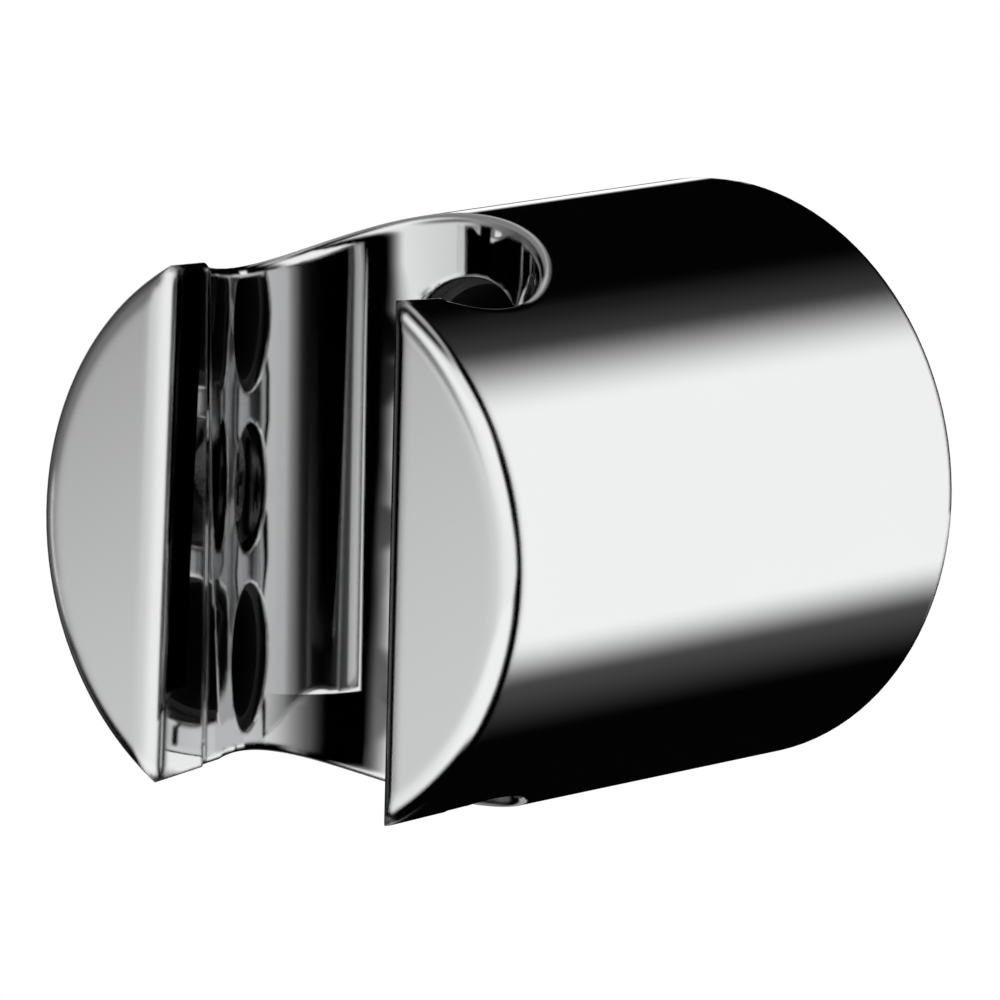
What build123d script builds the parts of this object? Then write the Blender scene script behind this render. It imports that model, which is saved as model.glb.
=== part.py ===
from build123d import *
import os
from math import radians, tan

# Wall holder for a hand shower, in millimetres.
# The wall is the plane Y = 0, the holder stands out of it along -Y, and +Z is up.
# The hose drops into the tapered seat from above, and passes in through the mouth at the front.

# Body: a hollow plated cylinder, open at the wall
BODY_DIAMETER = 46.0
BODY_DEPTH = 55.7
SHELL_WALL = 2.2
FRONT_WALL = 2.4
FRONT_ROUND = 1.3
REAR_CHAMFER = 0.3

# Seat and mouth: a cone that leans forward at the top, and a slot that widens downwards and inwards
SEAT_DIAMETER = 24.8
SEAT_TAPER = 0.7
SEAT_LEAN = 1.0
SEAT_SETBACK = 11.65
SEAT_WALL = 2.0
SEAT_TOP_ROUND = 0.65
SEAT_BOTTOM_ROUND = 0.45
MOUTH_CATCH = 1.55
MOUTH_FLARE = 0.6
MOUTH_RELIEF = 5.0
TIP_TOP_ROUND = 0.5
TIP_BOTTOM_ROUND = 0.3

# Parting line: a fine groove down both sides of the mouth, leaning like the seat
PARTING_DEPTH = 6.15
PARTING_LEAN = 2.4
PARTING_GROOVE = 0.16

# Three round holes in a row down the back of the seat, centred a little below the body's axis
HOLE_DIAMETER = 11.5
HOLE_PITCH = 13.45
ROW_DROP = 1.1
HOLE_CHAMFER = 0.22

# Screw cup behind the middle hole, and the gap between it and the tubes beside it
CUP_DIAMETER = 10.1
CUP_DEPTH = 9.0
CUP_FLOOR = 2.2
TUBE_GAP = 0.4

# Keys inside the body, which stop it turning on its base
KEY_WIDTH = 3.0
KEY_HEIGHT = 0.9
KEY_LENGTH = 18.0

# Mounting base: skirt, web, ribs, centre boss and two screw tubes
BASE_CLEARANCE = 0.2
BASE_DEPTH = 12.0
BASE_WALL = 1.8
BASE_WEB = 2.0
RIB_THICKNESS = 1.6
BOSS_DIAMETER = 9.0
TUBE_BORE = 10.2
WALL_SCREW_HOLE = 5.2
WALL_SCREW_FLOOR = 4.0

# Centre screw and its washer
SCREW_DIAMETER = 4.0
SCREW_LENGTH = 16.0
SCREW_POINT = 1.0
SCREW_CLEARANCE = 0.25
SCREW_BORE_SPARE = 2.0
THREAD_CLEARANCE = 0.05
HEAD_DIAMETER = 7.6
HEAD_HEIGHT = 2.8
HEAD_CHAMFER = 0.5
DRIVE_WIDTH = 1.1
DRIVE_SPAN = 4.2
DRIVE_DEPTH = 1.6
WASHER_DIAMETER = 9.2
WASHER_THICKNESS = 0.8

# Places worked out from the sizes
FRONT_Y = -BODY_DEPTH
SEAT_Y = FRONT_Y + SEAT_SETBACK
SEAT_BACK_Y = SEAT_Y + SEAT_DIAMETER / 2
MOUTH_WIDTH = SEAT_DIAMETER - 2 * MOUTH_CATCH
PARTING_Y = FRONT_Y + PARTING_DEPTH
CUP_FLOOR_Y = SEAT_BACK_Y + CUP_DEPTH
CUP_REAR_Y = CUP_FLOOR_Y + CUP_FLOOR
SCREW_Y = CUP_FLOOR_Y - WASHER_THICKNESS
SCREW_TIP_Y = SCREW_Y + SCREW_LENGTH
TUBE_DIAMETER = HOLE_PITCH - TUBE_GAP
CAVITY_DIAMETER = BODY_DIAMETER - 2 * SHELL_WALL
BASE_DIAMETER = CAVITY_DIAMETER - 2 * BASE_CLEARANCE
SCREW_HOLE = SCREW_DIAMETER + 2 * SCREW_CLEARANCE
ROW_Z = -ROW_DROP
OUTER_HOLES = (ROW_Z - HOLE_PITCH, ROW_Z + HOLE_PITCH)
REACH = 2 * BODY_DIAMETER
PARTING_PLANE = Plane((0, PARTING_Y, 0), x_dir=(1, 0, 0), z_dir=(0, 1, 0)).rotated((PARTING_LEAN, 0, 0))


def rod(diameter: float, start: float, end: float, height: float = 0.0) -> Part:
    """A round bar along Y, from one depth to another, at a height above the axis."""
    bar = Cylinder(diameter / 2, end - start)
    return Pos(0, (start + end) / 2, height) * Rot(X=-90) * Rot(Z=90) * bar


def plate(width: float, start: float, end: float, thickness: float, height: float = 0.0) -> Part:
    """A flat bar across X, from one depth to another, at a height above the axis."""
    return Pos(0, (start + end) / 2, height) * Box(width, end - start, thickness)


def seat_cone(grow: float = 0.0) -> Part:
    """The tapered seat, or the same cone with its wall moved outwards."""
    radius = SEAT_DIAMETER / 2 + grow
    spread = REACH / 2 * tan(radians(SEAT_TAPER))
    cone = Cone(radius - spread, radius + spread, REACH)
    return Pos(0, SEAT_Y, 0) * Rot(X=SEAT_LEAN) * Rot(Z=-90) * cone


def mouth_side(side: int, grow: float = 0.0) -> Part:
    """All the space to one side of the mouth, behind its leaning wall."""
    block = Pos(side * REACH / 2, 0, 0) * Box(REACH, 2 * REACH, 2 * REACH)
    lean = Rot(Z=-side * MOUTH_RELIEF) * Rot(Y=-side * MOUTH_FLARE)
    return Pos(side * (MOUTH_WIDTH / 2 + grow), FRONT_Y, 0) * lean * block


def mouth_slot(grow: float = 0.0) -> Part:
    """The slot from the front into the seat."""
    slot = plate(2 * REACH, SEAT_Y - REACH, SEAT_Y, REACH)
    return slot - mouth_side(-1, grow) - mouth_side(1, grow)


def hose_space(grow: float = 0.0) -> Part:
    """Everything that the hose and its cone pass through."""
    return seat_cone(grow) + mouth_slot(grow)


def parting_side(side: int) -> Part:
    """All the space ahead of the parting plane, for -1, or behind it, for 1."""
    return extrude(PARTING_PLANE * Rectangle(REACH, REACH), amount=side * REACH)


def rim_edges(block: Part) -> ShapeList:
    """The edges of the block's round skin, apart from those that reach the wall."""
    skin = block.faces().filter_by(GeomType.CYLINDER).sort_by(SortBy.AREA)[-1]
    return skin.edges().filter_by(lambda edge: edge.bounding_box().max.Y < -REAR_CHAMFER)


def jaw(side: int) -> Part:
    """The space to one side of the mouth that lies behind the front, with a rounded lip."""
    block = mouth_side(side) & plate(2 * REACH, FRONT_Y, FRONT_Y + REACH, REACH)
    lip = block.edges().group_by(Axis.Y)[0].sort_by(lambda edge: abs(edge.center().X))[0]
    return fillet(lip, FRONT_ROUND)


def front_block(side: int) -> Part:
    """The drum on one side of the mouth, with its tips rounded along the mouth's wall."""
    block = rod(BODY_DIAMETER, FRONT_Y, SEAT_Y) & mouth_side(side)
    for rise, radius in ((1, TIP_TOP_ROUND), (-1, TIP_BOTTOM_ROUND)):
        tips = block.edges().filter_by(GeomType.ELLIPSE).sort_by(lambda edge: rise * edge.center().Z)
        block = fillet(tips[-1], radius)
    return block


def front_part() -> Part:
    """The body ahead of the parting plane: two front faces with rounded rims and finer tips."""
    drum = rod(BODY_DIAMETER, FRONT_Y, 0)
    drum = fillet(drum.edges().filter_by(GeomType.CIRCLE).sort_by(Axis.Y)[0], FRONT_ROUND)
    front = Part()
    for side in (-1, 1):
        front += front_block(side) & drum & jaw(side)
    return (front - seat_cone()) & parting_side(-1)


def rear_part(block: Part) -> Part:
    """The block behind the parting line, with a finer rounding along the seat's bottom."""
    for side, radius in ((1, SEAT_TOP_ROUND), (-1, SEAT_BOTTOM_ROUND)):
        rim = rim_edges(block).filter_by(
            lambda edge: edge.bounding_box().max.Y > FRONT_Y + FRONT_ROUND
            and side * edge.center().Z > 0
        )
        block = fillet(rim, radius)
    wall_edge = block.edges().filter_by(GeomType.CIRCLE).sort_by(Axis.Y)[-1]
    return chamfer(wall_edge, REAR_CHAMFER) & parting_side(1)


def parting_groove(front: Part) -> Part:
    """The groove's tool: a small square on its corner, run down each side of the mouth."""
    groove = Part()
    for section in front.faces().filter_by(PARTING_PLANE):
        path = Wire(section.edges().sort_by(SortBy.LENGTH)[:-1])
        across = Plane(path @ 0, z_dir=path % 0, x_dir=(0, 1, 0))
        corner = across * Rot(Z=45) * Rectangle(PARTING_GROOVE * 2**0.5, PARTING_GROOVE * 2**0.5)
        groove += sweep(corner, path=path)
    return groove


def seat_holes(block: Part) -> Part:
    """The block with the three holes in the seat, their edges softened."""
    for height in OUTER_HOLES:
        block -= rod(HOLE_DIAMETER, SEAT_Y, CUP_REAR_Y, height)
    block -= rod(CUP_DIAMETER, SEAT_Y, CUP_FLOOR_Y, ROW_Z)
    seat = block.faces().filter_by(GeomType.CONE).sort_by(SortBy.AREA)[-1]
    return chamfer(seat.inner_wires().edges(), HOLE_CHAMFER)


def cavity() -> Part:
    """The hollow behind the front and round the seat, less the screw cup and the keys."""
    space = rod(CAVITY_DIAMETER, FRONT_Y + FRONT_WALL, 0) - hose_space(SEAT_WALL)
    space -= rod(TUBE_DIAMETER, SEAT_Y, CUP_REAR_Y, ROW_Z)
    return space - body_keys()


def body_keys() -> Part:
    """Two keys along the inside of the shell, which stop short of the wall."""
    ring = rod(CAVITY_DIAMETER, -KEY_LENGTH, -BASE_WEB)
    ring -= rod(CAVITY_DIAMETER - 2 * KEY_HEIGHT, -KEY_LENGTH, -BASE_WEB)
    return ring & plate(REACH, -KEY_LENGTH, 0, KEY_WIDTH)


def holder_body() -> Part:
    """The moulded and plated body: shell, front, seat and screw cup in one piece."""
    block = rod(BODY_DIAMETER, FRONT_Y, 0) - hose_space()
    front = front_part()
    body = front + rear_part(block) - parting_groove(front)
    body = seat_holes(body) - cavity()
    return body - rod(SCREW_HOLE, CUP_FLOOR_Y, CUP_REAR_Y, ROW_Z)


def mounting_base() -> Part:
    """The base that the wall screws hold: a ribbed cup with a boss and two screw tubes."""
    skirt = rod(BASE_DIAMETER, -BASE_DEPTH, 0)
    pocket = rod(BASE_DIAMETER - 2 * BASE_WALL, BASE_WEB - BASE_DEPTH, 0)
    inner = Part()
    for height in (*OUTER_HOLES, ROW_Z):
        inner += plate(REACH, -BASE_DEPTH, 0, RIB_THICKNESS, height)
    inner += plate(RIB_THICKNESS, -BASE_DEPTH, 0, REACH)
    inner += rod(BOSS_DIAMETER, CUP_REAR_Y, 0, ROW_Z)
    for height in OUTER_HOLES:
        inner += rod(TUBE_DIAMETER, SEAT_Y, 0, height)
    inner -= seat_cone(SEAT_WALL + BASE_CLEARANCE)
    base = skirt - pocket + (inner & rod(BASE_DIAMETER, SEAT_Y, 0))
    for height in OUTER_HOLES:
        base -= rod(TUBE_BORE, SEAT_Y, -WALL_SCREW_FLOOR, height)
        base -= rod(WALL_SCREW_HOLE, -WALL_SCREW_FLOOR, 0, height)
    thread = SCREW_DIAMETER + 2 * THREAD_CLEARANCE
    base -= rod(thread, CUP_REAR_Y, SCREW_TIP_Y + SCREW_BORE_SPARE, ROW_Z)
    slots = rod(BASE_DIAMETER, -BASE_DEPTH, 0)
    slots -= rod(CAVITY_DIAMETER - 2 * (KEY_HEIGHT + BASE_CLEARANCE), -BASE_DEPTH, 0)
    return base - (slots & plate(REACH, -BASE_DEPTH, 0, KEY_WIDTH + 2 * BASE_CLEARANCE))


def centre_screw() -> Part:
    """The screw that holds the body to its base: cheese head, cross drive, chamfered tip."""
    head_y = SCREW_Y - HEAD_HEIGHT
    head = rod(HEAD_DIAMETER, head_y, SCREW_Y, ROW_Z)
    head = chamfer(head.edges().filter_by(GeomType.CIRCLE).sort_by(Axis.Y)[0], HEAD_CHAMFER)
    shank = rod(SCREW_DIAMETER, SCREW_Y, SCREW_TIP_Y, ROW_Z)
    shank = chamfer(shank.edges().filter_by(GeomType.CIRCLE).sort_by(Axis.Y)[-1], SCREW_POINT)
    screw = head + shank
    for width, height in ((DRIVE_SPAN, DRIVE_WIDTH), (DRIVE_WIDTH, DRIVE_SPAN)):
        screw -= plate(width, head_y, head_y + DRIVE_DEPTH, height, ROW_Z)
    return screw


def screw_washer() -> Part:
    """The flat washer between the screw's head and the floor of the cup."""
    disc = rod(WASHER_DIAMETER, SCREW_Y, CUP_FLOOR_Y, ROW_Z)
    return disc - rod(SCREW_HOLE, SCREW_Y, CUP_FLOOR_Y, ROW_Z)


os.makedirs("parts", exist_ok=True)
for piece in (holder_body, mounting_base, centre_screw, screw_washer):
    solid = piece()
    export_step(solid, f"parts/{piece.__name__}.step")
    print(piece.__name__, "volume", round(solid.volume), "valid", solid.is_valid)
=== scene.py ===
"""Looks of a chrome-plated wall holder for a hand shower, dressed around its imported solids."""

import logging
import math
from dataclasses import dataclass, field
from enum import Enum
from typing import Optional

import bpy
from mathutils import Matrix, Vector

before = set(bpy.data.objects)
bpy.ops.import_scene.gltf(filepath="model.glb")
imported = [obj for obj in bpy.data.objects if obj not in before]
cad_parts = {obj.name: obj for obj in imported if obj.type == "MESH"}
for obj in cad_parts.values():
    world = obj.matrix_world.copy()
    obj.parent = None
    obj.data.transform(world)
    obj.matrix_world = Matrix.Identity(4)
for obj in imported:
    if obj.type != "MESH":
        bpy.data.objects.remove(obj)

LOG = logging.getLogger("hand_shower_holder")

Colour = tuple[float, float, float]
Factors = tuple[float, float, float]
Point = tuple[float, float, float]
Span = tuple[float, float]


@dataclass
class NodeGraph:
    """A node tree with short calls for the nodes that the finishes and the studio are made of.

    Attributes:
        tree: The node tree that is filled.
    """

    tree: bpy.types.NodeTree

    def node(self, kind: str, **values: object) -> bpy.types.Node:
        """Adds a node and sets its own properties.

        Args:
            kind: The node's class name.
            **values: Properties to set on the node.

        Returns:
            The new node.
        """
        new = self.tree.nodes.new(kind)
        for name, value in values.items():
            setattr(new, name, value)
        return new

    def link(self, source: bpy.types.NodeSocket, target: bpy.types.NodeSocket) -> None:
        """Joins an output to an input.

        Args:
            source: The output.
            target: The input.
        """
        self.tree.links.new(source, target)

    def feed(self, target: bpy.types.NodeSocket, value: object) -> None:
        """Gives an input its value.

        Args:
            target: The input.
            value: Another node's output, or a constant.
        """
        if isinstance(value, bpy.types.NodeSocket):
            self.link(value, target)
        else:
            target.default_value = value

    def math(self, operation: str, *values: object) -> bpy.types.NodeSocket:
        """Adds a Math node.

        Args:
            operation: The node's operation.
            *values: Its inputs, in order, as sockets or numbers.

        Returns:
            The result's socket.
        """
        new = self.node("ShaderNodeMath", operation=operation)
        for target, value in zip(new.inputs, values):
            self.feed(target, value)
        return new.outputs[0]

    def smooth(self, value: bpy.types.NodeSocket, low: float, high: float) -> bpy.types.NodeSocket:
        """Adds a smooth step between two values.

        Args:
            value: What is compared.
            low: Where the result is 0.
            high: Where the result is 1; it may be less than low.

        Returns:
            The step's socket.
        """
        new = self.node("ShaderNodeMapRange", interpolation_type="SMOOTHSTEP")
        start, end = (0.0, 1.0) if low < high else (1.0, 0.0)
        self.feed(new.inputs["Value"], value)
        new.inputs["From Min"].default_value = min(low, high)
        new.inputs["From Max"].default_value = max(low, high)
        new.inputs["To Min"].default_value = start
        new.inputs["To Max"].default_value = end
        return new.outputs["Result"]

    def parts(self, vector: bpy.types.NodeSocket) -> tuple[bpy.types.NodeSocket, ...]:
        """Splits a vector.

        Args:
            vector: The vector's socket.

        Returns:
            The sockets of its X, Y and Z.
        """
        split = self.node("ShaderNodeSeparateXYZ")
        self.link(vector, split.inputs[0])
        return tuple(split.outputs)

    def end_as_glow(self, strength: float, cover: object) -> None:
        """Ends a material as a plain glow that is clear from behind.

        Args:
            strength: How bright the glow is, 0 for black.
            cover: 0 where the face is clear from the front too and 1 where it is full,
                as a socket or a number.
        """
        behind = self.node("ShaderNodeNewGeometry").outputs["Backfacing"]
        shown = self.math("MULTIPLY", self.math("SUBTRACT", 1.0, behind), cover)
        face = self.node("ShaderNodeEmission")
        face.inputs["Strength"].default_value = strength
        mix = self.node("ShaderNodeMixShader")
        self.link(shown, mix.inputs[0])
        self.link(self.node("ShaderNodeBsdfTransparent").outputs[0], mix.inputs[1])
        self.link(face.outputs[0], mix.inputs[2])
        self.link(mix.outputs[0], self.node("ShaderNodeOutputMaterial").inputs["Surface"])


def empty_material(name: str) -> tuple[bpy.types.Material, NodeGraph]:
    """Makes a material without nodes.

    Args:
        name: The material's name.

    Returns:
        The material, and the graph that fills it.
    """
    material = bpy.data.materials.new(name)
    material.use_nodes = True
    material.node_tree.nodes.clear()
    return material, NodeGraph(material.node_tree)


@dataclass(frozen=True)
class StudioView:
    """The camera, placed by its direction and distance from the point at the picture's centre.

    Attributes:
        azimuth: Degrees from straight in front of the holder, to the right.
        elevation: Degrees above the holder.
        roll: Degrees that the picture is turned.
        distance: Metres from the camera to its aim.
        aim: The point at the picture's centre.
        lens: Focal length in millimetres.
        sensor: Width of the film in millimetres.
        farthest: Metres to the farthest thing that shows.
    """

    azimuth: float = 38.291
    elevation: float = 9.583
    roll: float = 1.851
    distance: float = 0.85
    aim: Point = (0.00559, -0.03501, 0.00195)
    lens: float = 400.33
    sensor: float = 36.0
    farthest: float = 10.0

    def forward(self) -> Vector:
        """The direction that the camera looks in.

        Returns:
            The direction, as a unit vector.
        """
        azimuth, elevation = math.radians(self.azimuth), math.radians(self.elevation)
        level = math.cos(elevation)
        return Vector((-math.sin(azimuth) * level, math.cos(azimuth) * level, -math.sin(elevation)))

    def build(self) -> None:
        """Makes the camera and gives it to the scene."""
        data = bpy.data.cameras.new("studio_camera")
        data.lens, data.sensor_width = self.lens, self.sensor
        data.clip_end = self.farthest
        camera = bpy.data.objects.new("studio_camera", data)
        bpy.context.scene.collection.objects.link(camera)
        roll = Matrix.Rotation(math.radians(self.roll), 3, "Z")
        turn = self.forward().to_track_quat("-Z", "Y").to_matrix() @ roll
        place = Vector(self.aim) - self.distance * self.forward()
        camera.matrix_world = Matrix.Translation(place) @ turn.to_4x4()
        bpy.context.scene.camera = camera


class Reading(Enum):
    """What a panel's edges are measured by, for a direction that the chrome mirrors."""

    AZIMUTH = "degrees to the right of straight ahead"
    SWEEP = "azimuth, moved on by how far below the level the direction is"
    ELEVATION = "degrees above the level"
    AROUND = "degrees round the body's axis, up from the right"
    TURN = "degrees round the body's axis, either way from the right"
    DEPTH = "how much of the direction goes towards the wall"


@dataclass(frozen=True)
class SoftWindow:
    """A range with soft edges.

    Attributes:
        rise: Where the range starts and where it is full, or None if it has no start.
        fall: Where it is last full and where it ends, or None if it has no end.
    """

    rise: Optional[Span] = None
    fall: Optional[Span] = None

    def masks(self, graph: NodeGraph, value: bpy.types.NodeSocket) -> list[bpy.types.NodeSocket]:
        """Makes the range's nodes.

        Args:
            graph: The world's nodes.
            value: The reading that is compared.

        Returns:
            A mask for each edge, 0 outside the range and 1 inside it.
        """
        masks = []
        if self.rise is not None:
            masks.append(graph.smooth(value, *self.rise))
        if self.fall is not None:
            last, gone = self.fall
            masks.append(graph.smooth(value, gone, last))
        return masks


@dataclass(frozen=True)
class SoftPanel:
    """A soft light, far away, that the chrome mirrors.

    Attributes:
        brightness: How bright it is.
        windows: Its soft edges, by what they are measured by.
    """

    brightness: float
    windows: dict[Reading, SoftWindow]

    def light(self, graph: NodeGraph, readings: dict[Reading, bpy.types.NodeSocket]) -> bpy.types.NodeSocket:
        """Makes the panel's nodes.

        Args:
            graph: The world's nodes.
            readings: All readings of the direction.

        Returns:
            The panel's brightness in that direction.
        """
        light = self.brightness
        for reading, window in self.windows.items():
            for mask in window.masks(graph, readings[reading]):
                light = graph.math("MULTIPLY", light, mask)
        return light


# Edges that several panels share
BOX_FOOT = (-66.0, -54.0)
BOX_RIGHT = (92.0, 108.0)
BOX_TOP = (36.0, 48.0)
FRONT_LEFT = (-49.5, -36.0)
FRONT_TOP = (0.0, 12.0)
FILL_TOP = (26.0, 42.0)
FLANK_DEPTH = SoftWindow((0.7, 0.74), (0.8, 0.83))
LEFT_SIDE = SoftWindow((-150.0, -130.0), (-60.0, -45.0))

# The wide white band on the right flank, and the faint glow round it
SIDE_STRIP = SoftPanel(1.25, {
    Reading.AROUND: SoftWindow((-59.0, -37.0), (47.0, 78.0)),
    Reading.DEPTH: FLANK_DEPTH,
})
SIDE_GLOW = SoftPanel(0.095, {
    Reading.AROUND: SoftWindow((-85.0, -52.0), (60.0, 100.0)),
    Reading.DEPTH: FLANK_DEPTH,
})

# Thin lines on the left and the top of the outline
LEFT_STRIP = SoftPanel(0.12, {
    Reading.TURN: SoftWindow(rise=(148.0, 160.0)),
    Reading.DEPTH: SoftWindow((-0.3, -0.1), (0.05, 0.2)),
})
EDGE_LIGHT = SoftPanel(1.2, {
    Reading.TURN: SoftWindow(rise=(172.0, 178.0)),
    Reading.DEPTH: SoftWindow((0.66, 0.7), (0.83, 0.86)),
})

# Boxes in front and to the right
FRONT_BOX = SoftPanel(0.9, {
    Reading.SWEEP: SoftWindow(FRONT_LEFT, BOX_RIGHT),
    Reading.ELEVATION: SoftWindow(BOX_FOOT, FRONT_TOP),
})
RIGHT_BOX = SoftPanel(0.37, {
    Reading.AZIMUTH: SoftWindow((-36.0, 55.0), BOX_RIGHT),
    Reading.ELEVATION: SoftWindow(BOX_FOOT, BOX_TOP),
})
RIGHT_HIGH = SoftPanel(0.95, {
    Reading.AZIMUTH: SoftWindow((-15.0, 12.0), BOX_RIGHT),
    Reading.ELEVATION: SoftWindow(FRONT_TOP, BOX_TOP),
})
LOW_FRONT = SoftPanel(0.25, {
    Reading.AZIMUTH: SoftWindow((-50.0, -30.0), BOX_RIGHT),
    Reading.ELEVATION: SoftWindow(BOX_FOOT, (-22.0, -13.0)),
})

# Lights above
HIGH_BOX = SoftPanel(1.2, {
    Reading.AZIMUTH: SoftWindow((-55.0, -30.0), (100.0, 125.0)),
    Reading.ELEVATION: SoftWindow(FILL_TOP, (56.0, 70.0)),
})
HIGH_FILL = SoftPanel(0.16, {
    Reading.AZIMUTH: SoftWindow((-55.0, -40.0), (0.0, 20.0)),
    Reading.ELEVATION: SoftWindow(FRONT_TOP, FILL_TOP),
})
CEILING = SoftPanel(0.6, {
    Reading.ELEVATION: SoftWindow(rise=(52.0, 64.0)),
    Reading.DEPTH: SoftWindow(rise=(0.05, 0.3)),
})

# Lights to the left
LEFT_HIGH = SoftPanel(0.3, {
    Reading.AZIMUTH: LEFT_SIDE,
    Reading.ELEVATION: SoftWindow((25.0, 40.0), (65.0, 80.0)),
})
LEFT_LOW = SoftPanel(0.3, {
    Reading.AZIMUTH: LEFT_SIDE,
    Reading.ELEVATION: SoftWindow((-70.0, -60.0), (-45.0, -35.0)),
})
LEFT_BACK = SoftPanel(0.4, {
    Reading.TURN: SoftWindow(rise=(105.0, 130.0)),
    Reading.DEPTH: SoftWindow((0.42, 0.52), (0.69, 0.73)),
})
LEFT_WALL = SoftPanel(0.25, {
    Reading.AZIMUTH: SoftWindow(rise=(-92.0, -52.0)),
    Reading.SWEEP: SoftWindow(fall=FRONT_LEFT),
    Reading.ELEVATION: SoftWindow((-22.0, -14.0), (30.0, 45.0)),
})
LEFT_LINE = SoftPanel(1.0, {
    Reading.AZIMUTH: SoftWindow((-62.5, -60.5), (-55.5, -54.0)),
    Reading.ELEVATION: SoftWindow((-16.0, -14.0), (-9.0, -7.5)),
})

# A patch low down behind the holder
LOW_PATCH = SoftPanel(1.25, {
    Reading.AZIMUTH: SoftWindow((140.0, 144.0), (168.0, 172.0)),
    Reading.ELEVATION: SoftWindow((-34.0, -30.0), (-11.6, -10.6)),
    Reading.DEPTH: SoftWindow(rise=(0.825, 0.84)),
})

PANELS = (
    SIDE_STRIP, SIDE_GLOW, LEFT_STRIP, EDGE_LIGHT, FRONT_BOX, RIGHT_BOX, RIGHT_HIGH, HIGH_BOX,
    HIGH_FILL, LEFT_HIGH, LEFT_BACK, LEFT_LOW, LOW_FRONT, LEFT_WALL, LEFT_LINE, LOW_PATCH, CEILING,
)


class Facing(Enum):
    """Which way a card looks, as the turn of a flat plane."""

    LEFT = (0.0, -math.pi / 2, 0.0)
    RIGHT = (0.0, math.pi / 2, 0.0)
    BACK = (-math.pi / 2, 0.0, 0.0)


@dataclass(frozen=True)
class Card:
    """A thin card, black or glowing, for the mirrored rays which meet its face.

    Attributes:
        name: The card's name.
        facing: Which way its face looks.
        at: Where it stands, along X or, for one that looks back, along Y, in metres.
        across: Where its sides are, along Y or, for one that looks back, along X, in metres.
        upright: Where its foot and its top are, along Z, in metres.
        fade: Along Y, where it lets all light past and where it is full, or None if it is full all over.
        tilt: How far the fade moves along Y for each metre up.
        glow: How bright it is, 0 for black.
    """

    name: str
    facing: Facing
    at: float
    across: Span
    upright: Span
    fade: Optional[Span] = None
    tilt: float = 0.0
    glow: float = 0.0

    def build(self) -> None:
        """Makes the card, and leaves it to mirrored rays alone."""
        (near, far), (foot, top) = self.across, self.upright
        wide, tall = far - near, top - foot
        side, height = (near + far) / 2, (foot + top) / 2
        back = self.facing is Facing.BACK
        bpy.ops.object.select_all(action="DESELECT")
        bpy.ops.mesh.primitive_plane_add(size=1.0, rotation=self.facing.value)
        card = bpy.context.object
        card.name = self.name
        card.scale = (wide, tall, 1.0) if back else (tall, wide, 1.0)
        card.location = (side, self.at, height) if back else (self.at, side, height)
        bpy.ops.object.transform_apply(location=True, rotation=True, scale=True)
        card.visible_camera = False
        card.visible_diffuse = False
        card.visible_transmission = False
        card.visible_shadow = False
        card.data.materials.append(self.material())

    def material(self) -> bpy.types.Material:
        """Makes the card's black or glow, clear from behind and towards its soft edge.

        Returns:
            The material.
        """
        material, graph = empty_material(self.name)
        cover = 1.0
        if self.fade is not None:
            _, deep, up = graph.parts(graph.node("ShaderNodeTexCoord").outputs["Object"])
            cover = graph.smooth(graph.math("MULTIPLY_ADD", up, self.tilt, deep), *self.fade)
        graph.end_as_glow(self.glow, cover)
        return material


# Cards in the mouth: three by its middle plane, which reach beyond the holder, and smaller ones
MIDDLE = 0.0003
BEYOND = 0.045
WALL_SIDE = -0.0084
WALL_TOP = 0.0225
CARDS = (
    Card("mouth_flag", Facing.LEFT, at=-MIDDLE, across=(-0.055, -0.04335), upright=(-BEYOND, BEYOND),
         fade=(-0.0512, -0.0446), tilt=0.075),
    Card("seat_flag", Facing.RIGHT, at=MIDDLE, across=(-0.069, -0.044), upright=(-BEYOND, BEYOND),
         fade=(-0.0655, -0.047), tilt=0.08),
    Card("low_flag", Facing.LEFT, at=-MIDDLE, across=(-0.04336, -0.0345), upright=(-BEYOND, -0.017),
         fade=(-0.035, -0.0405)),
    Card("wall_flag", Facing.LEFT, at=WALL_SIDE, across=(-0.0508, -0.0465), upright=(-0.014, WALL_TOP)),
    Card("line_flag", Facing.LEFT, at=WALL_SIDE, across=(-0.0535, -0.0509), upright=(-0.002, WALL_TOP)),
    Card("side_flag", Facing.BACK, at=-0.043, across=(-0.0123, -0.0094), upright=(0.009, 0.022)),
    Card("lip_flag", Facing.BACK, at=-0.0562, across=(0.0098, 0.0117), upright=(-0.03, 0.03)),
    Card("low_card", Facing.LEFT, at=0.0128, across=(-0.0415, -0.028), upright=(-0.0265, -0.0203), glow=1.1),
)


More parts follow.
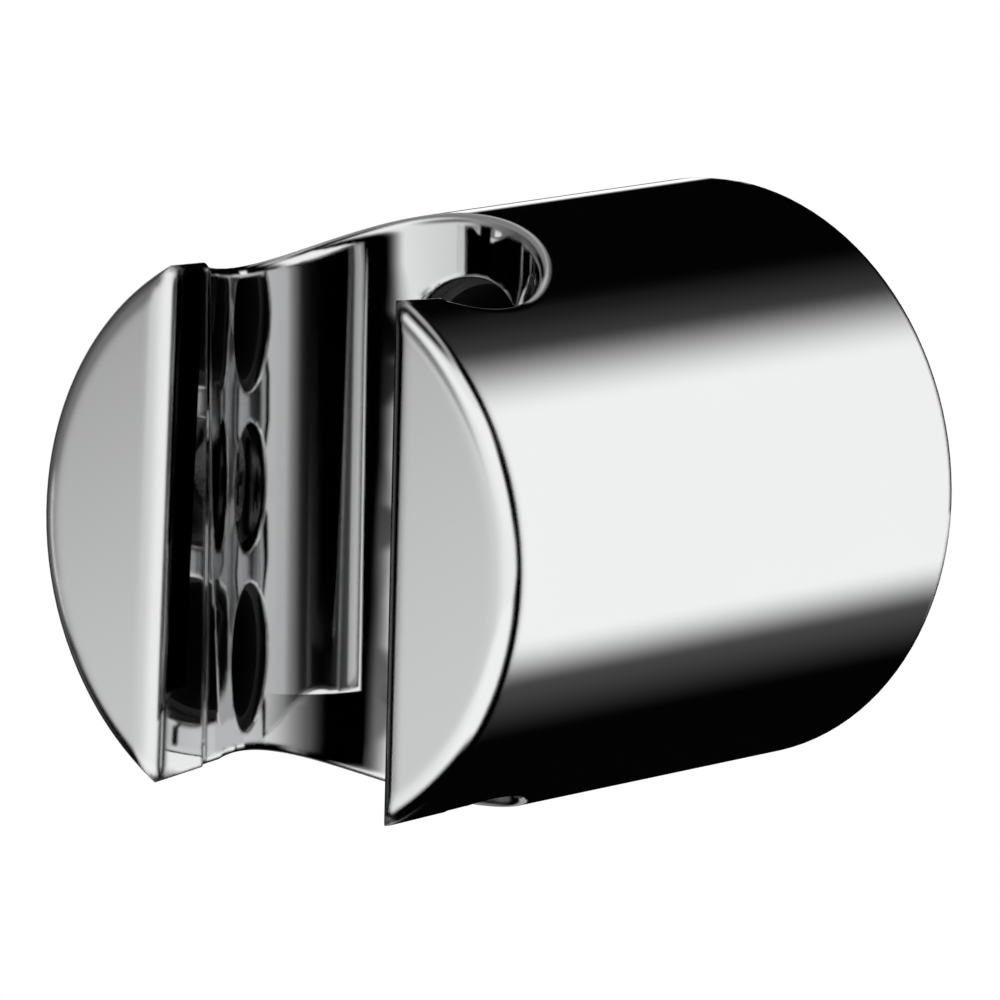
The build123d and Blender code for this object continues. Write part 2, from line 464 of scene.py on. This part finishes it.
@dataclass
class Studio:
    """The pale floor, and the soft panels and the cards that the chrome mirrors.

    Attributes:
        floor_height: Metres from the holder's axis down to the floor.
        floor_reach: Half the floor's width in metres.
        white: Brightness of the floor and the backdrop.
        fill: Brightness of the soft light on plain surfaces.
        gloom: Brightness of the studio away from its panels.
        brightest: Highest brightness where panels overlap.
        lean: Degrees that the front box's left edge moves in all on the way down.
        lean_heights: Elevations in degrees where that move starts and ends.
        tint: Colour of all the light, with its alpha.
    """

    floor_height: float = 0.09
    floor_reach: float = 6.0
    white: float = 1.0
    fill: float = 0.55
    gloom: float = 0.0012
    brightest: float = 1.34
    lean: float = 16.0
    lean_heights: Span = (-4.0, -16.0)
    tint: tuple[float, float, float, float] = (1.0, 1.0, 1.0, 1.0)

    def build(self) -> None:
        """Makes the floor, the cards and the world's panels."""
        self.lay_floor()
        for card in CARDS:
            card.build()
        self.light_world()
        view = bpy.context.scene.view_settings
        view.view_transform, view.look = "Standard", "None"

    def lay_floor(self) -> None:
        """Lays a white floor, seen from above alone and left out of the mirrored picture."""
        bpy.ops.object.select_all(action="DESELECT")
        bpy.ops.mesh.primitive_plane_add(size=2 * self.floor_reach, location=(0, 0, -self.floor_height))
        floor = bpy.context.object
        floor.name = "studio_floor"
        floor.visible_glossy = False
        floor.visible_diffuse = False
        floor.visible_shadow = False
        material, graph = empty_material("pale_floor")
        graph.end_as_glow(self.white, cover=1.0)
        floor.data.materials.append(material)

    def light_world(self) -> None:
        """Fills the world: white behind the holder, panels for the chrome, even light for the rest."""
        world = bpy.data.worlds.new("soft_studio")
        world.use_nodes = True
        bpy.context.scene.world = world
        world.node_tree.nodes.clear()
        graph = NodeGraph(world.node_tree)
        path = graph.node("ShaderNodeLightPath")
        readings = self.readings(graph)
        mirrored = self.gloom
        for panel in PANELS:
            mirrored = graph.math("ADD", panel.light(graph, readings), mirrored)
        mirrored = graph.math("MINIMUM", mirrored, self.brightest)
        glossy = path.outputs["Is Glossy Ray"]
        plain = graph.math("MULTIPLY_ADD", path.outputs["Is Camera Ray"], self.white - self.fill, self.fill)
        unmirrored = graph.math("MULTIPLY", graph.math("SUBTRACT", 1.0, glossy), plain)
        light = graph.node("ShaderNodeBackground")
        light.inputs["Color"].default_value = self.tint
        graph.link(graph.math("MULTIPLY_ADD", glossy, mirrored, unmirrored), light.inputs["Strength"])
        graph.link(light.outputs[0], graph.node("ShaderNodeOutputWorld").inputs["Surface"])

    def readings(self, graph: NodeGraph) -> dict[Reading, bpy.types.NodeSocket]:
        """Works out all that the panels' edges are measured by.

        Args:
            graph: The world's nodes.

        Returns:
            The readings of the direction that is looked in.
        """
        right, deep, up = graph.parts(graph.node("ShaderNodeTexCoord").outputs["Generated"])
        ahead = graph.math("MULTIPLY", deep, -1.0)
        azimuth = graph.math("DEGREES", graph.math("ARCTAN2", right, ahead))
        elevation = graph.math("DEGREES", graph.math("ARCSINE", up))
        around = graph.math("DEGREES", graph.math("ARCTAN2", up, right))
        lowness = graph.smooth(elevation, *self.lean_heights)
        move = graph.math("MULTIPLY_ADD", lowness, self.lean, -self.lean / 2)
        return {
            Reading.AZIMUTH: azimuth,
            Reading.SWEEP: graph.math("ADD", azimuth, move),
            Reading.ELEVATION: elevation,
            Reading.AROUND: around,
            Reading.TURN: graph.math("ABSOLUTE", around),
            Reading.DEPTH: deep,
        }


# Sockets of a Mix node that mixes colours, and the detail of the two noises
MIX_COLOURS = (6, 7)
MIX_RESULT = 2
PATCH_DETAIL = 2.0
GRAIN_DETAIL = 4.0


def mottled_surface() -> bpy.types.ShaderNodeTree:
    """The shared effect of all the finishes: soft patches of colour under a fine grain.

    Returns:
        The node group, made at the first call and shared after that.
    """
    name = "mottled_surface"
    if name in bpy.data.node_groups:
        return bpy.data.node_groups[name]
    tree = bpy.data.node_groups.new(name, "ShaderNodeTree")
    sockets = {
        "Place": "NodeSocketVector",
        "Light": "NodeSocketColor",
        "Dark": "NodeSocketColor",
        "Patch Scale": "NodeSocketFloat",
        "Grain Scale": "NodeSocketFloat",
        "Low Roughness": "NodeSocketFloat",
        "High Roughness": "NodeSocketFloat",
    }
    for socket, kind in sockets.items():
        tree.interface.new_socket(socket, in_out="INPUT", socket_type=kind)
    for socket, kind in (("Colour", "Color"), ("Roughness", "Float"), ("Grain", "Float")):
        tree.interface.new_socket(socket, in_out="OUTPUT", socket_type=f"NodeSocket{kind}")
    graph = NodeGraph(tree)
    given = graph.node("NodeGroupInput").outputs
    result = graph.node("NodeGroupOutput").inputs
    patches = graph.node("ShaderNodeTexNoise")
    grain = graph.node("ShaderNodeTexNoise")
    noises = ((patches, "Patch Scale", PATCH_DETAIL), (grain, "Grain Scale", GRAIN_DETAIL))
    for noise, scale, detail in noises:
        noise.inputs["Detail"].default_value = detail
        graph.link(given["Place"], noise.inputs["Vector"])
        graph.link(given[scale], noise.inputs["Scale"])
    mix = graph.node("ShaderNodeMix", data_type="RGBA")
    graph.link(patches.outputs["Fac"], mix.inputs[0])
    for colour, socket in zip(("Dark", "Light"), MIX_COLOURS):
        graph.link(given[colour], mix.inputs[socket])
    rough = graph.node("ShaderNodeMapRange")
    graph.link(grain.outputs["Fac"], rough.inputs["Value"])
    graph.link(given["Low Roughness"], rough.inputs["To Min"])
    graph.link(given["High Roughness"], rough.inputs["To Max"])
    graph.link(mix.outputs[MIX_RESULT], result["Colour"])
    graph.link(rough.outputs["Result"], result["Roughness"])
    graph.link(grain.outputs["Fac"], result["Grain"])
    return tree


# Along Y, where the soft edges are as narrow as inside the mouth and where they are as wide as at the front
FRONT_RIMS = (-0.0515, -0.0535)
BEVEL_SAMPLES = 8


@dataclass(frozen=True)
class Finish:
    """A finish that varies a little over the surface, as a real one does.

    Attributes:
        name: The material's name.
        light: Colour of the lighter patches.
        dark: Colour of the darker patches.
        metallic: 1 for metal and 0 for plastic.
        roughness: Lowest and highest roughness.
        patch: Size of the patches in metres.
        grain: Size of the surface's grain in metres.
        relief: Height of the grain in metres, or None for a polished surface.
        stretch: How much the grain is drawn out along each axis.
        softness: How far from an edge its rounding starts to show, at the front rims and behind them,
            in metres, or None for crisp edges.
    """

    name: str
    light: Colour
    dark: Colour
    metallic: float
    roughness: Span
    patch: float
    grain: float
    relief: Optional[float] = None
    stretch: Factors = (1.0, 1.0, 1.0)
    softness: Optional[Span] = None

    def material(self) -> bpy.types.Material:
        """Makes the material's nodes.

        Returns:
            The material.
        """
        material, graph = empty_material(self.name)
        place = graph.node("ShaderNodeTexCoord").outputs["Object"]
        surface = self.surface(graph, place)
        shader = graph.node("ShaderNodeBsdfPrincipled")
        shader.inputs["Metallic"].default_value = self.metallic
        graph.link(surface["Colour"], shader.inputs["Base Color"])
        graph.link(surface["Roughness"], shader.inputs["Roughness"])
        if self.relief is not None:
            bump = graph.node("ShaderNodeBump")
            bump.inputs["Distance"].default_value = self.relief
            graph.link(surface["Grain"], bump.inputs["Height"])
            graph.link(bump.outputs["Normal"], shader.inputs["Normal"])
        if self.softness is not None:
            graph.link(self.rounded_normal(graph, place), shader.inputs["Normal"])
        graph.link(shader.outputs[0], graph.node("ShaderNodeOutputMaterial").inputs["Surface"])
        return material

    def surface(self, graph: NodeGraph, place: bpy.types.NodeSocket) -> bpy.types.bpy_prop_collection:
        """Adds the shared effect, with this finish's own values.

        Args:
            graph: The material's nodes.
            place: The place on the node.

        Returns:
            The effect's outputs.
        """
        turn = graph.node("ShaderNodeMapping")
        turn.inputs["Scale"].default_value = self.stretch
        graph.link(place, turn.inputs["Vector"])
        effect = graph.node("ShaderNodeGroup", node_tree=mottled_surface())
        values = {
            "Place": turn.outputs["Vector"],
            "Light": (*self.light, 1.0),
            "Dark": (*self.dark, 1.0),
            "Patch Scale": 1 / self.patch,
            "Grain Scale": 1 / self.grain,
            "Low Roughness": self.roughness[0],
            "High Roughness": self.roughness[1],
        }
        for name, value in values.items():
            graph.feed(effect.inputs[name], value)
        return effect.outputs

    def rounded_normal(self, graph: NodeGraph, place: bpy.types.NodeSocket) -> bpy.types.NodeSocket:
        """Adds the soft rounding of the edges, widest at the front rims.

        Args:
            graph: The material's nodes.
            place: The place on the node.

        Returns:
            The rounded normal.
        """
        front, behind = self.softness
        _, deep, _ = graph.parts(place)
        reach = graph.math("MULTIPLY_ADD", graph.smooth(deep, *FRONT_RIMS), front - behind, behind)
        rounding = graph.node("ShaderNodeBevel", samples=BEVEL_SAMPLES)
        graph.link(reach, rounding.inputs["Radius"])
        return rounding.outputs["Normal"]


CHROME = Finish(
    name="polished_chrome",
    light=(0.645, 0.648, 0.652),
    dark=(0.63, 0.633, 0.637),
    metallic=1.0,
    roughness=(0.02, 0.045),
    patch=0.02,
    grain=0.0015,
    softness=(0.0016, 0.0007),
)
PLASTIC = Finish(
    name="moulded_plastic",
    light=(0.022, 0.022, 0.0235),
    dark=(0.014, 0.014, 0.015),
    metallic=0.0,
    roughness=(0.42, 0.58),
    patch=0.009,
    grain=0.0004,
    relief=0.00006,
)
SCREW_STEEL = Finish(
    name="turned_steel",
    light=(0.17, 0.168, 0.16),
    dark=(0.12, 0.118, 0.114),
    metallic=1.0,
    roughness=(0.2, 0.36),
    patch=0.003,
    grain=0.0003,
    relief=0.00001,
    stretch=(1.0, 6.0, 1.0),
)
WASHER_STEEL = Finish(
    name="pressed_steel",
    light=(0.2, 0.198, 0.19),
    dark=(0.14, 0.138, 0.134),
    metallic=1.0,
    roughness=(0.24, 0.4),
    patch=0.003,
    grain=0.0003,
    relief=0.00001,
    stretch=(6.0, 1.0, 1.0),
)


@dataclass
class Holder:
    """The holder itself: the plated body, its base, and the screw and washer between them.

    Attributes:
        finishes: The finish of each node.
    """

    finishes: dict[str, Finish] = field(
        default_factory=lambda: {
            "holder_body": CHROME,
            "mounting_base": PLASTIC,
            "centre_screw": SCREW_STEEL,
            "screw_washer": WASHER_STEEL,
        }
    )

    def dress(self, nodes: dict[str, bpy.types.Object]) -> None:
        """Gives each node its finish.

        Args:
            nodes: The frame's nodes by name.
        """
        for name, finish in self.finishes.items():
            node = nodes[name]
            node.data.materials.clear()
            node.data.materials.append(finish.material())
            LOG.info("%s is finished in %s", name, finish.name)


def main() -> None:
    """Builds the camera, the studio and the holder's finishes, in that order."""
    logging.basicConfig(level=logging.INFO)
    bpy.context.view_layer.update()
    StudioView().build()
    Studio().build()
    Holder().dress(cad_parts)


if __name__ == "__main__":
    main()
